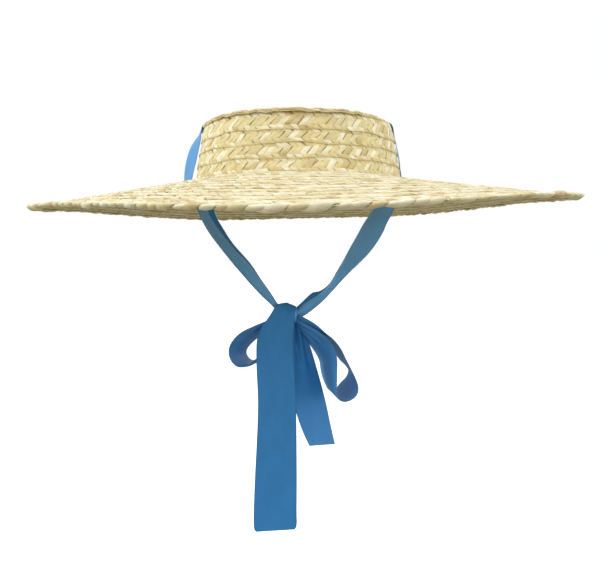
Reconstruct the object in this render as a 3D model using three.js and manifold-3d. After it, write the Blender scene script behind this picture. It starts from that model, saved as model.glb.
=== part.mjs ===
// A straw boater with a wide, drooping brim and a blue ribbon that crosses the crown, passes
// through two slots in the brim and is tied in a bow below.
// Millimetres, +Z up, the front at -Y. The origin is the middle of the head opening, level with
// the foot of the crown.
import * as THREE from 'three';
import { mergeVertices } from 'three/addons/utils/BufferGeometryUtils.js';
import Module from 'manifold-3d';

const wasm = await Module();
wasm.setup();

// Straw plait
const strawWall = 1.6;
const rowStep = 0.8;
const rowLap = 2.5;
const seatGap = 0.3;

// Crown
const headOpeningWidth = 172;
const headOpeningLength = 198;
const crownHeight = 46.5;
const crownLean = 9.2;
const crownSway = 3;
const tipThickness = 1.6;
const tipRowWidth = 11.5;
const tipOverhang = 0.7;
const lipDepth = 3.8;
const lipRound = 2.8;

// Visible heights of the crown's plait rows, from the top down, as shares of the side's height
const crownRows = [
  { name: 'top', share: 0.30 },
  { name: 'second', share: 0.24 },
  { name: 'third', share: 0.25 },
  { name: 'foot', share: 0.21 },
];

// Brim
const brimWidth = 134;
const brimRowWidth = 12.2;
const brimShift = 4.6;
const flareHeight = 1.6;
const flareReach = 6.5;
const droopSide = 20.3;
const droopFront = 31.6;
const droopBack = 26.4;
const sideTilt = 3.7;
const rimWave = 1.1;
const rimWaves = 5;

// Ribbon
const ribbonWidth = 40;
const ribbonWall = 1.0;
const slotWidth = 3.6;
const slotEndRoom = 2;
const slotOffsetRight = 0.9;
const slotOffsetLeft = 10.2;
const leftBulge = 6.5;

// Bow
const knotX = -10.6;
const knotDrop = 118.5;
const knotWidth = 19;
const knotDepth = 18;
const knotHeight = 21;
const strapEntry = THREE.MathUtils.degToRad(38);
const strapBack = 1.6;
const loopReach = 50;
const longTailLength = 206;
const shortTailLength = 109;

const strawColour = '#dccd9c';
const brimColour = '#e8dfba';
const ribbonColour = '#3f76a8';
const shadeColour = '#33628c';

const crownSides = 56;
const brimSides = 60;
const knotLevels = 8;
const TURN = Math.PI * 2;

// Half sizes of the crown's outer surface at its foot and at its top
const foot = {
  x: headOpeningWidth / 2 + strawWall + rowStep,
  y: headOpeningLength / 2 + strawWall + rowStep,
};
const top = { x: foot.x - crownLean, y: foot.y - crownLean };

// Half sizes of the tip, whose lip clears the top row of the side
const tipEdge = { x: top.x + tipOverhang + strawWall, y: top.y + tipOverhang + strawWall };

function material(name, colour, roughness) {
  return new THREE.MeshStandardMaterial({ name, color: colour, roughness, metalness: 0 });
}

// Points of an oval ring at one height
function ovalPoint(halfX, halfY, angle, z, shiftX = 0) {
  return new THREE.Vector3(shiftX + halfX * Math.cos(angle), halfY * Math.sin(angle), z);
}

// A closed body from a grid of points: rows of rings, each ring closed on itself.
// caps 'ends' closes the first and last ring, 'joined' links the last ring to the first.
function bodyFromRings(rings, caps) {
  const count = rings[0].length;
  const positions = rings.flat().flatMap((p) => [p.x, p.y, p.z]);
  const triangles = [];
  const at = (ring, i) => (ring % rings.length) * count + (i % count);
  const last = caps === 'joined' ? rings.length : rings.length - 1;
  for (let ring = 0; ring < last; ring += 1) {
    for (let i = 0; i < count; i += 1) {
      triangles.push([at(ring, i), at(ring, i + 1), at(ring + 1, i + 1)]);
      triangles.push([at(ring, i), at(ring + 1, i + 1), at(ring + 1, i)]);
    }
  }
  if (caps === 'ends') {
    addCap(positions, triangles, rings[0], 0, true);
    addCap(positions, triangles, rings[rings.length - 1], (rings.length - 1) * count, false);
  }
  return outwardGeometry(positions, triangles);
}

// A fan from the middle of a ring to its points
function addCap(positions, triangles, ring, first, turned) {
  const middle = ring.reduce((sum, p) => sum.add(p), new THREE.Vector3()).divideScalar(ring.length);
  const hub = positions.length / 3;
  positions.push(middle.x, middle.y, middle.z);
  for (let i = 0; i < ring.length; i += 1) {
    const next = first + ((i + 1) % ring.length);
    triangles.push(turned ? [hub, next, first + i] : [hub, first + i, next]);
  }
}

// Turns the faces outward where the signed volume is negative
function outwardGeometry(positions, triangles) {
  const point = (i) => new THREE.Vector3().fromArray(positions, i * 3);
  let volume = 0;
  for (const [a, b, c] of triangles) {
    volume += point(a).dot(point(b).cross(point(c)));
  }
  const faces = volume < 0 ? triangles.map(([a, b, c]) => [a, c, b]) : triangles;
  const geometry = new THREE.BufferGeometry();
  geometry.setAttribute('position', new THREE.Float32BufferAttribute(positions, 3));
  geometry.setIndex(faces.flat());
  return geometry;
}

function solidOf(geometry) {
  const mesh = new wasm.Mesh({
    numProp: 3,
    vertProperties: Float32Array.from(geometry.getAttribute('position').array),
    triVerts: Uint32Array.from(geometry.getIndex().array),
  });
  return new wasm.Manifold(mesh);
}

function geometryOf(solid) {
  const mesh = solid.getMesh();
  const geometry = new THREE.BufferGeometry();
  geometry.setAttribute('position', new THREE.Float32BufferAttribute(mesh.vertProperties, 3));
  geometry.setIndex(Array.from(mesh.triVerts));
  return geometry;
}

function part(name, geometry, look) {
  geometry.computeVertexNormals();
  const mesh = new THREE.Mesh(geometry, look);
  mesh.name = name;
  return mesh;
}

// Straight steps from one value to another, both ends included
function steps(from, to, count) {
  return Array.from({ length: count + 1 }, (_, i) => from + ((to - from) * i) / count);
}

// Row edges across a width, as near to the wanted row width as whole rows allow
function rowEdges(width, rowWidth) {
  return steps(0, width, Math.max(2, Math.round(width / rowWidth)));
}

// Height of the brim's upper face at a distance from the crown
function brimHeight(distance, angle) {
  const share = distance / brimWidth;
  const sine = Math.sin(angle);
  const endDroop = sine < 0 ? droopFront : droopBack;
  const droop = droopSide + (endDroop - droopSide) * sine * sine - sideTilt * Math.cos(angle);
  const wave = rimWave * share * share * Math.sin(rimWaves * angle);
  const flare = flareHeight * (1 - Math.exp(-distance / flareReach));
  return wave - flare - (droop - flareHeight) * share;
}

// The brim: rows of plait that each lap over the next one out, with a flat seat for the crown
function brim() {
  const seatWidth = foot.x - headOpeningWidth / 2 + seatGap;
  const edges = rowEdges(brimWidth, brimRowWidth);
  const rowAt = (distance, angle, lift) => ovalPoint(
    foot.x + distance,
    foot.y + distance,
    angle,
    brimHeight(Math.max(distance - seatGap, 0), angle) + lift,
    (brimShift * Math.max(distance, 0)) / brimWidth,
  );
  const stations = [{ distance: -seatWidth, lift: 0 }, { distance: seatGap, lift: 0 }];
  for (let row = 1; row < edges.length; row += 1) {
    stations.push({ distance: edges[row] - seatGap, lift: rowStep });
    if (row < edges.length - 1) stations.push({ distance: edges[row], lift: 0 });
  }
  stations.push({ distance: brimWidth - seatGap, lift: rowStep - strawWall });
  for (let row = edges.length - 2; row > 0; row -= 1) {
    stations.push({ distance: edges[row] - rowLap, lift: -strawWall - rowStep });
    stations.push({ distance: edges[row] - rowLap - seatGap, lift: -strawWall });
  }
  stations.push({ distance: -seatWidth, lift: -strawWall - rowStep });
  const rings = [];
  for (let side = 0; side < brimSides; side += 1) {
    const angle = (TURN * side) / brimSides;
    rings.push(stations.map((s) => rowAt(s.distance, angle, s.lift)));
  }
  return bodyFromRings(rings, 'joined');
}

// The slots that the ribbon passes through, cut down through the brim
function slotCutter(x) {
  const slotLength = ribbonWidth + 2 * slotEndRoom;
  const box = new THREE.BoxGeometry(slotWidth, slotLength, 2 * droopSide);
  box.deleteAttribute('normal');
  box.deleteAttribute('uv');
  box.translate(x, 0, 0);
  return solidOf(mergeVertices(box));
}

const slotX = { right: foot.x + slotOffsetRight, left: -foot.x - slotOffsetLeft };

function slottedBrim() {
  return geometryOf(solidOf(brim()).subtract(slotCutter(slotX.right)).subtract(slotCutter(slotX.left)));
}

// The crown's side: each row of plait laps over the row below it
function crownSide() {
  const footZ = seatGap;
  const headZ = crownHeight - tipThickness - rowStep - seatGap;
  const height = headZ - footZ;
  const inset = (z) => (crownLean * (z - footZ)) / height;
  const outer = [];
  const inner = [];
  let z = footZ;
  for (const row of [...crownRows].reverse()) {
    const rowTop = z + row.share * height;
    outer.push({ z, out: 0 }, { z: rowTop - seatGap / 2, out: -rowStep });
    const lapTop = Math.min(rowTop + rowLap, headZ);
    inner.push({ z: lapTop, out: -strawWall - rowStep });
    if (lapTop < headZ) inner.push({ z: lapTop + seatGap, out: -strawWall });
    z = rowTop;
  }
  outer[outer.length - 1].z = headZ;
  inner.unshift({ z: footZ, out: -strawWall });
  const profile = [...outer, ...inner.reverse()];
  const rings = [];
  for (let side = 0; side < crownSides; side += 1) {
    const angle = (TURN * side) / crownSides;
    const at = (s) => ovalPoint(
      foot.x + s.out - inset(s.z),
      foot.y + s.out - inset(s.z),
      angle,
      s.z,
      (-crownSway * (s.z - footZ)) / height,
    );
    rings.push(profile.map(at));
  }
  return bodyFromRings(rings, 'joined');
}

// The crown's flat tip: an oval coil of plait, each row lapping over the next one out, with a
// rounded lip turned down over the side
function crownTip() {
  const core = tipEdge.y - tipEdge.x;
  const edges = rowEdges(tipEdge.x - lipRound, tipRowWidth);
  const rings = [];
  const ring = (halfX, z) => {
    const points = [];
    for (let side = 0; side < crownSides; side += 1) {
      points.push(ovalPoint(halfX, halfX + core, (TURN * side) / crownSides, z, -crownSway));
    }
    rings.push(points);
  };
  const under = crownHeight - tipThickness - rowStep;
  ring(edges[1] / 2, crownHeight);
  for (let row = 1; row < edges.length - 1; row += 1) {
    ring(edges[row] - seatGap, crownHeight);
    ring(edges[row], crownHeight - rowStep);
  }
  for (const angle of [Math.PI / 2, Math.PI / 4, 0]) {
    ring(tipEdge.x - lipRound * (1 - Math.cos(angle)), crownHeight - lipRound * (1 - Math.sin(angle)));
  }
  ring(tipEdge.x - seatGap, crownHeight - lipDepth);
  ring(tipEdge.x - strawWall, crownHeight - lipDepth);
  ring(tipEdge.x - strawWall, under);
  ring(edges[1] / 2, under);
  return bodyFromRings(rings, 'ends');
}

// A strip of ribbon along a path. Each station has its middle, the direction across the strip
// and its width; the strip's wall stands half to each side.
function ribbonStrip(stations) {
  const across = [-1, -0.5, 0, 0.5, 1];
  const rings = stations.map((station, i) => {
    const before = stations[Math.max(i - 1, 0)].middle;
    const after = stations[Math.min(i + 1, stations.length - 1)].middle;
    const along = after.clone().sub(before).normalize();
    const face = along.clone().cross(station.across).normalize();
    const point = (share, side) => station.middle.clone()
      .addScaledVector(station.across, (share * station.width) / 2)
      .addScaledVector(face, (side * ribbonWall) / 2 + station.curl * share * share);
    return [...across.map((s) => point(s, 1)), ...[...across].reverse().map((s) => point(s, -1))];
  });
  return bodyFromRings(rings, 'ends');
}

// Even stations along a smooth line through a table's rows. Columns: x, y, z the middle, leanX
// and leanZ the sideways and upward lean of the strip's near edge, width as a share of the
// ribbon's width, curl the rise of its edges as a share of it too.
function stationsThrough(rows, count) {
  const points = rows.map((r) => new THREE.Vector3(r.x, r.y, r.z));
  const line = new THREE.CatmullRomCurve3(points, false, 'centripetal');
  const column = (name, u) => {
    const place = u * (rows.length - 1);
    const i = Math.min(Math.floor(place), rows.length - 2);
    return THREE.MathUtils.lerp(rows[i][name] ?? 0, rows[i + 1][name] ?? 0, place - i);
  };
  return steps(0, 1, count).map((u) => ({
    middle: line.getPoint(u),
    across: new THREE.Vector3(column('leanX', u), -1, column('leanZ', u)).normalize(),
    width: ribbonWidth * column('width', u),
    curl: ribbonWidth * column('curl', u),
  }));
}

// The knot's middle, and how high its flattened top and foot stand off it
const knot = new THREE.Vector3(knotX, 0, -knotDrop);
const knotRise = (knotHeight / 2) * Math.cos(Math.PI / knotLevels);

// How far the ribbon's middle stands off the straw that it lies on
const ribbonStand = seatGap + ribbonWall / 2;

// A point just off the knot, in the direction that a strap comes from
function knotSide(side, angle) {
  const across = Math.cos(angle) / (knotWidth / 2);
  const up = Math.sin(angle) / (knotHeight / 2);
  const reach = 1 / Math.hypot(across, up) + seatGap;
  const offset = new THREE.Vector3(side * reach * Math.cos(angle), strapBack, reach * Math.sin(angle));
  return knot.clone().add(offset);
}

// The ribbon from the knot's right side up through the brim, over the crown and back down
function chinRibbon() {
  const slotZ = (side) => brimHeight(Math.abs(slotX[side]) - foot.x, side === 'right' ? 0 : Math.PI);
  const rightSlot = new THREE.Vector3(slotX.right, 0, slotZ('right'));
  const leftSlot = new THREE.Vector3(slotX.left, 0, slotZ('left'));
  const rightEnd = knotSide(1, strapEntry);
  const leftEnd = knotSide(-1, strapEntry);
  const corner = (side, angle) => ({
    x: side * (tipEdge.x - lipRound + (lipRound + ribbonStand) * Math.cos(angle)) - crownSway,
    y: 0,
    z: crownHeight - lipRound + (lipRound + ribbonStand) * Math.sin(angle),
    width: 1,
  });
  const strapRow = (slot, end, row) => ({
    x: THREE.MathUtils.lerp(slot.x, end.x, row.along) + Math.sign(slot.x) * row.bulge * knotDrop,
    y: end.y * row.along,
    z: THREE.MathUtils.lerp(slot.z, end.z, row.along) - row.bulge * knotDrop * 0.8,
    leanX: Math.sign(slot.x) * row.lean,
    leanZ: -row.lean,
    width: row.width,
    curl: row.curl,
  });
  // Columns: along from slot to knot, bulge as a share of the knot's drop, lean of the near
  // edge, width and curl of the strip
  const rightStrap = [
    { along: 1.00, bulge: 0, lean: 0.10, width: 0.28, curl: 0 },
    { along: 0.90, bulge: 0.045, lean: 0.22, width: 0.40, curl: 0.02 },
    { along: 0.75, bulge: 0.062, lean: 0.30, width: 0.62, curl: 0.02 },
    { along: 0.50, bulge: 0.056, lean: 0.26, width: 0.86, curl: 0 },
    { along: 0.25, bulge: 0.024, lean: 0.25, width: 0.97, curl: 0 },
    { along: 0.10, bulge: 0.004, lean: 0.12, width: 1, curl: 0 },
  ];
  const leftStrap = [
    { along: 0.10, bulge: 0.008, lean: 0.12, width: 1, curl: 0 },
    { along: 0.25, bulge: 0.024, lean: 0.17, width: 0.97, curl: 0 },
    { along: 0.50, bulge: 0.030, lean: 0.15, width: 0.86, curl: 0 },
    { along: 0.75, bulge: 0.018, lean: 0.17, width: 0.62, curl: 0.02 },
    { along: 0.90, bulge: 0.008, lean: 0.15, width: 0.42, curl: 0.02 },
    { along: 1.00, bulge: 0, lean: 0.1, width: 0.34, curl: 0 },
  ];
  const hang = (slot, z) => ({ x: slot.x, y: 0, z: slot.z + z, width: 1 });
  const bulgeAt = (share, out) => ({
    x: THREE.MathUtils.lerp(-tipEdge.x - ribbonStand - crownSway, leftSlot.x, share) - out * leftBulge,
    y: 0,
    z: THREE.MathUtils.lerp(crownHeight - lipRound, leftSlot.z, share),
    width: 1,
  });
  const throughRight = [hang(rightSlot, -strawWall - rowStep), hang(rightSlot, strawWall)];
  const throughLeft = [hang(leftSlot, strawWall), hang(leftSlot, -strawWall - rowStep)];
  const rows = [
    ...rightStrap.map((row) => strapRow(rightSlot, rightEnd, row)),
    ...throughRight,
    corner(1, 0), corner(1, Math.PI / 4), corner(1, Math.PI / 2),
    { x: top.x / 3 - crownSway, y: 0, z: crownHeight + ribbonStand, width: 1 },
    { x: -top.x / 3 - crownSway, y: 0, z: crownHeight + ribbonStand, width: 1 },
    corner(-1, Math.PI / 2), corner(-1, Math.PI / 4),
    bulgeAt(0.12, 0.4), bulgeAt(0.4, 0.9), bulgeAt(0.7, 0.72),
    ...throughLeft,
    ...leftStrap.map((row) => strapRow(leftSlot, leftEnd, row)),
  ];
  return ribbonStrip(stationsThrough(rows, (rows.length - 1) * 2));
}

// The knot: a wound lump with the folds of the turns over it
function bowKnot() {
  const rings = [];
  const sides = 16;
  for (let level = 1; level < knotLevels; level += 1) {
    const tilt = (Math.PI * level) / knotLevels;
    const points = [];
    for (let side = 0; side < sides; side += 1) {
      const angle = (TURN * side) / sides;
      const fold = 1 - 0.06 * Math.sin(3 * angle + 2 * tilt) ** 2;
      const round = Math.sin(tilt) * fold;
      points.push(new THREE.Vector3(
        knot.x + (knotWidth / 2) * round * Math.cos(angle),
        knot.y + (knotDepth / 2) * round * Math.sin(angle),
        knot.z + (knotHeight / 2) * Math.cos(tilt),
      ));
    }
    rings.push(points);
  }
  return bodyFromRings(rings, 'ends');
}

// A loop of the bow. Columns: out and up from the knot as shares of the loops' reach, back
// as a share of the knot's depth, then lean, width and curl as in any strip.
function bowLoop(table) {
  const rows = table.map((row) => ({
    ...row,
    x: knot.x + row.out * loopReach,
    y: knot.y + row.back * knotDepth,
    z: knot.z + row.up * loopReach,
  }));
  return ribbonStrip(stationsThrough(rows, (rows.length - 1) * 2));
}

const leftLoopTable = [
  { out: -0.195, up: -0.05, back: 0.04, leanX: 0, leanZ: 0.1, width: 0.30, curl: 0 },
  { out: -0.46, up: -0.26, back: 0.25, leanX: -0.1, leanZ: 0.3, width: 0.55, curl: 0 },
  { out: -0.72, up: -0.44, back: 0.2, leanX: -0.2, leanZ: 0.4, width: 0.85, curl: 0 },
  { out: -0.89, up: -0.62, back: 0.15, leanX: -0.3, leanZ: 0.3, width: 1, curl: 0 },
  { out: -0.88, up: -0.82, back: 0.15, leanX: -0.3, leanZ: 0, width: 1, curl: 0 },
  { out: -0.70, up: -0.89, back: 0.2, leanX: -0.1, leanZ: 0, width: 0.85, curl: 0 },
  { out: -0.42, up: -0.70, back: 0.25, leanX: 0, leanZ: 0, width: 0.55, curl: 0 },
  { out: -0.14, up: -0.25, back: 0.2, leanX: 0, leanZ: 0, width: 0.30, curl: 0 },
];

const rightLoopTable = [
  { out: 0.195, up: -0.06, back: 0.04, leanX: 0.1, leanZ: 0, width: 0.30, curl: 0 },
  { out: 0.62, up: -0.38, back: 0.2, leanX: 0.2, leanZ: 0.2, width: 0.6, curl: 0 },
  { out: 0.88, up: -0.62, back: 0.1, leanX: 0.2, leanZ: 0.2, width: 0.9, curl: 0 },
  { out: 1.05, up: -0.86, back: 0.05, leanX: 0.3, leanZ: 0, width: 1, curl: 0 },
  { out: 1.14, up: -1.10, back: 0.05, leanX: 0.3, leanZ: -0.4, width: 1, curl: 0 },
  { out: 1.06, up: -1.28, back: 0.05, leanX: 0.3, leanZ: -0.4, width: 1, curl: 0 },
  { out: 0.88, up: -1.33, back: 0.1, leanX: 0.3, leanZ: -0.4, width: 1, curl: 0 },
  { out: 0.76, up: -1.16, back: 0.1, leanX: 0.3, leanZ: -0.2, width: 0.95, curl: 0 },
  { out: 0.71, up: -0.90, back: 0.15, leanX: 0.3, leanZ: 0, width: 0.9, curl: 0 },
  { out: 0.65, up: -0.66, back: 0.15, leanX: 0.3, leanZ: 0, width: 0.7, curl: 0 },
  { out: 0.42, up: -0.42, back: 0.2, leanX: 0.1, leanZ: 0, width: 0.45, curl: 0 },
  { out: 0.17, up: -0.22, back: 0.2, leanX: 0, leanZ: 0, width: 0.26, curl: 0 },
];

// A hanging tail faces the front: its table gives the left and right edges as shares of the
// ribbon's width, the depth of each as a share of the knot's, the drop as a share of the
// tail's length and the slant, by which the right edge hangs lower.
function facingStrip(start, length, table) {
  const edgePoint = (row, side, slant) => new THREE.Vector3(
    start.x + row[side] * ribbonWidth,
    start.y + row[`${side}Back`] * knotDepth,
    start.z - (row.drop + slant) * length,
  );
  const rows = table.map((row) => ({
    left: edgePoint(row, 'left', 0),
    right: edgePoint(row, 'right', row.slant ?? 0),
  }));
  const line = (side) => new THREE.CatmullRomCurve3(rows.map((r) => r[side]), false, 'centripetal');
  const leftLine = line('left');
  const rightLine = line('right');
  const stations = steps(0, 1, (rows.length - 1) * 2).map((u) => {
    const left = leftLine.getPoint(u);
    const right = rightLine.getPoint(u);
    const across = right.clone().sub(left);
    return {
      middle: left.clone().lerp(right, 0.5),
      width: across.length(),
      across: across.normalize(),
      curl: 0,
    };
  });
  return ribbonStrip(stations);
}

const tailStart = knot.clone().add(new THREE.Vector3(0, 0, knotRise + ribbonStand));

const longTailTable = [
  { drop: 0.000, left: -0.180, right: 0.180, leftBack: 0.14, rightBack: 0.14 },
  { drop: 0.000, left: -0.190, right: 0.190, leftBack: -0.18, rightBack: -0.18 },
  { drop: 0.006, left: -0.230, right: 0.190, leftBack: -0.34, rightBack: -0.34 },
  { drop: 0.020, left: -0.285, right: 0.175, leftBack: -0.49, rightBack: -0.49 },
  { drop: 0.038, left: -0.350, right: 0.157, leftBack: -0.57, rightBack: -0.58 },
  { drop: 0.061, left: -0.430, right: 0.147, leftBack: -0.62, rightBack: -0.65 },
  { drop: 0.105, left: -0.580, right: 0.133, leftBack: -0.64, rightBack: -0.70 },
  { drop: 0.158, left: -0.665, right: 0.125, leftBack: -0.66, rightBack: -0.74 },
  { drop: 0.260, left: -0.675, right: 0.135, leftBack: -0.68, rightBack: -0.74 },
  { drop: 0.420, left: -0.655, right: 0.170, leftBack: -0.68, rightBack: -0.72 },
  { drop: 0.550, left: -0.670, right: 0.190, leftBack: -0.68, rightBack: -0.70 },
  { drop: 0.770, left: -0.745, right: 0.190, leftBack: -0.68, rightBack: -0.68 },
  { drop: 1.000, left: -0.800, right: 0.190, leftBack: -0.68, rightBack: -0.68 },
];

const shortTailTable = [
  { drop: 0.00, left: -0.135, right: 0.135, leftBack: -0.05, rightBack: 0.05 },
  { drop: 0.15, left: -0.125, right: 0.440, leftBack: -0.20, rightBack: 0.10 },
  { drop: 0.25, left: -0.115, right: 0.540, leftBack: -0.26, rightBack: 0.14 },
  { drop: 0.37, left: -0.065, right: 0.655, leftBack: -0.30, rightBack: 0.22 },
  { drop: 0.53, left: 0.030, right: 0.790, leftBack: -0.34, rightBack: 0.34 },
  { drop: 0.69, left: 0.170, right: 0.893, leftBack: -0.40, rightBack: 0.48 },
  { drop: 0.82, left: 0.265, right: 0.970, leftBack: -0.44, rightBack: 0.58, slant: 0.01 },
  { drop: 0.92, left: 0.360, right: 1.015, leftBack: -0.48, rightBack: 0.64, slant: 0.03 },
  { drop: 1.00, left: 0.465, right: 1.055, leftBack: -0.50, rightBack: 0.70, slant: 0.045 },
];

const strawSide = material('plaited straw, crown', strawColour, 0.8);
const strawBrim = material('plaited straw, brim', brimColour, 0.8);
const satin = material('blue ribbon', ribbonColour, 0.45);
const satinShade = material('blue ribbon, folds', shadeColour, 0.5);

const shortTailStart = knot.clone().add(new THREE.Vector3(0, 0, -knotRise - seatGap));

const hat = new THREE.Group();
hat.name = 'straw_hat';
hat.add(part('crown_tip', crownTip(), strawSide));
hat.add(part('crown_side', crownSide(), strawSide));
hat.add(part('brim', slottedBrim(), strawBrim));
hat.add(part('chin_ribbon', chinRibbon(), satin));
hat.add(part('bow_knot', bowKnot(), satinShade));
hat.add(part('bow_loop_left', bowLoop(leftLoopTable), satin));
hat.add(part('bow_loop_right', bowLoop(rightLoopTable), satin));
hat.add(part('tail_long', facingStrip(tailStart, longTailLength, longTailTable), satin));
hat.add(part('tail_short', facingStrip(shortTailStart, shortTailLength, shortTailTable), satinShade));

export default hat;
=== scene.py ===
# %% [markdown]
# # A straw boater and its blue ribbon, dressed over the CAD frame
# The CAD frame gives every size. This script lays real plait over it, splint by splint, and cuts
# the ribbon from thin sheets, so that the hat reads as straw and satin from any side.

# %% The frame and the tools
import math

import bpy
import numpy as np
from mathutils import Matrix, Vector


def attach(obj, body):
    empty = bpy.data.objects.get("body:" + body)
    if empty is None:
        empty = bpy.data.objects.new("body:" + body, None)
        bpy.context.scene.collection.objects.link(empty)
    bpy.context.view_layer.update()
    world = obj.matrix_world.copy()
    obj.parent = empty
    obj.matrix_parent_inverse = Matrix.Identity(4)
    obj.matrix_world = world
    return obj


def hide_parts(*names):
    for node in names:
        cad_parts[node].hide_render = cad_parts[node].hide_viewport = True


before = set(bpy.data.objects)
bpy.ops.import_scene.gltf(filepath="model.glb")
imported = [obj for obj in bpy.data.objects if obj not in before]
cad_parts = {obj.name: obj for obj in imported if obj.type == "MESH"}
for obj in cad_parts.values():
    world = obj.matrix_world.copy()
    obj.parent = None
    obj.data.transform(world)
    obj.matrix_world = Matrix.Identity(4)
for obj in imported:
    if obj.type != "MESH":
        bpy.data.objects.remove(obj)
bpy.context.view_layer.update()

MM = 0.001
TURN = 2 * math.pi
print("CAD nodes:", sorted(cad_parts))

# %% [markdown]
# ## The camera
# The photograph was taken from just under the brim, looking slightly down. A camera could be set
# by eye. Its place, tilt and lens come from fitting the hat's ovals to the picture instead, so
# that the render can be laid over the photograph.

# %% Camera at the photograph's angle
PHOTO_WIDTH = 605
FOCAL_PIXELS = 617.53
SENSOR = 36
CAMERA_PLACE = (0.0022, -0.55248, -0.04626)
CAMERA_DOWN, CAMERA_ROLL = 0.0754, -0.0036
camera = bpy.data.cameras.new("camera")
camera.sensor_width = SENSOR
camera.lens = SENSOR * FOCAL_PIXELS / PHOTO_WIDTH
viewer = bpy.data.objects.new("camera", camera)
bpy.context.scene.collection.objects.link(viewer)
viewer.location = CAMERA_PLACE
tilt = Matrix.Rotation(math.pi / 2 - CAMERA_DOWN, 3, "X")
roll = Matrix.Rotation(CAMERA_ROLL, 3, "Z")
viewer.rotation_euler = (tilt @ roll).to_euler()
bpy.context.scene.camera = viewer
print("lens", round(camera.lens, 2), "mm")

# %% [markdown]
# ## Floor and light
# The hat stands against white in soft light, with the underside of its brim in shade. White
# cards all round could give that, but a few lamps and a pale sky are easier to steer. The floor
# is pale only to the camera. To the hat it is a dim straw colour, so that little light comes up
# under the brim. Two low lamps, slightly blue, reach the ribbon from the sides.

# %% Helpers for node trees
def add_node(tree, kind, settings=None, **values):
    """Adds one node, sets its plain settings, and sets or links its inputs by name."""
    made = tree.nodes.new(kind)
    for name, value in (settings or {}).items():
        setattr(made, name, value)
    for name, value in values.items():
        by_number = name[0] == "i" and name[1:].isdigit()
        socket = made.inputs[int(name[1:])] if by_number else made.inputs[name.replace("_", " ")]
        if isinstance(value, bpy.types.NodeSocket):
            tree.links.new(value, socket)
        else:
            socket.default_value = value
    return made


def new_material(name):
    """An empty node material and its output node."""
    made = bpy.data.materials.new(name)
    made.use_nodes = True
    made.node_tree.nodes.clear()
    return made, made.node_tree, made.node_tree.nodes.new("ShaderNodeOutputMaterial")


def remap(tree, value, span=(0.0, 1.0), to=(0.0, 1.0), kind="LINEAR"):
    """Maps one span of values to another."""
    return add_node(tree, "ShaderNodeMapRange", {"interpolation_type": kind}, Value=value,
                    From_Min=span[0], From_Max=span[1], To_Min=to[0], To_Max=to[1]).outputs[0]


def times(tree, first, *others):
    """The product of two or more values."""
    for other in others:
        first = add_node(tree, "ShaderNodeMath", {"operation": "MULTIPLY"}, i0=first, i1=other).outputs[0]
    return first


def mix_colours(tree, factor, a, b):
    """The colour between two, by a factor from 0 to 1."""
    made = add_node(tree, "ShaderNodeMix", {"data_type": "RGBA"}, Factor=factor, A=a, B=b)
    return made.outputs["Result"]


# %% Floor
FLOOR_DROP, FLOOR_REACH, FLOOR_SIDES = -0.75, 12, 96
FLOOR_BOUNCE = (0.28, 0.25, 0.175, 1)
FLOOR_SEEN = (0.93, 0.93, 0.93, 1)
ring = np.linspace(0, TURN, FLOOR_SIDES, endpoint=False)
edge = [FLOOR_REACH * np.cos(ring), FLOOR_REACH * np.sin(ring), np.full(FLOOR_SIDES, FLOOR_DROP)]
floor_mesh = bpy.data.meshes.new("floor")
floor_mesh.from_pydata(np.stack(edge, 1).tolist(), [], [list(range(FLOOR_SIDES))])
floor = bpy.data.objects.new("floor", floor_mesh)
bpy.context.scene.collection.objects.link(floor)
floor_look, tree, out = new_material("pale floor")
seen = add_node(tree, "ShaderNodeLightPath").outputs["Is Camera Ray"]
pale = add_node(tree, "ShaderNodeBsdfPrincipled", Roughness=0.9, Emission_Color=(1, 1, 1, 1),
                Base_Color=mix_colours(tree, seen, FLOOR_BOUNCE, FLOOR_SEEN),
                Emission_Strength=times(tree, seen, 0.32))
tree.links.new(pale.outputs[0], out.inputs[0])
floor_mesh.materials.append(floor_look)
print("the floor lies", -FLOOR_DROP, "m below the head opening")

# %% Lamps and sky
SIDE_LIGHT = (0.86, 0.95, 1)


def lamp(name, place, aim, size, power, colour=(1, 1, 1)):
    """A square area lamp that faces a point."""
    light = bpy.data.lights.new(name, "AREA")
    light.size = size
    light.energy = power
    light.color = colour
    holder = bpy.data.objects.new(name, light)
    bpy.context.scene.collection.objects.link(holder)
    holder.location = place
    holder.rotation_euler = (Vector(aim) - Vector(place)).to_track_quat("-Z", "Y").to_euler()
    print(name, power, "W")


lamp("lamp_above", (-0.35, -0.35, 1.5), (0, 0, 0), 1.6, 6.5)
lamp("lamp_front", (-0.25, -1.9, 0.4), (0, 0, -0.1), 1.4, 2.8)
lamp("lamp_left", (-1.9, 0.1, -0.3), (0, 0, -0.1), 0.9, 12, SIDE_LIGHT)
lamp("lamp_right", (1.9, 0.4, -0.3), (0, 0, -0.1), 0.9, 6, SIDE_LIGHT)

world = bpy.data.worlds.new("studio")
bpy.context.scene.world = world
world.use_nodes = True
tree = world.node_tree
tree.nodes.clear()
seen = add_node(tree, "ShaderNodeLightPath").outputs["Is Camera Ray"]
place = add_node(tree, "ShaderNodeTexCoord")
height = add_node(tree, "ShaderNodeSeparateXYZ", Vector=place.outputs["Generated"])
sky = remap(tree, height.outputs["Z"], (-0.3, 0.4), (0.62, 1.12))
strength = add_node(tree, "ShaderNodeMix", {"data_type": "FLOAT"}, Factor=seen, A=sky, B=1.0)
back = add_node(tree, "ShaderNodeBackground", Color=(1, 1, 1, 1), Strength=strength.outputs["Result"])
out = tree.nodes.new("ShaderNodeOutputWorld")
tree.links.new(back.outputs[0], out.inputs[0])
bpy.context.scene.view_settings.view_transform = "Standard"

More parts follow.
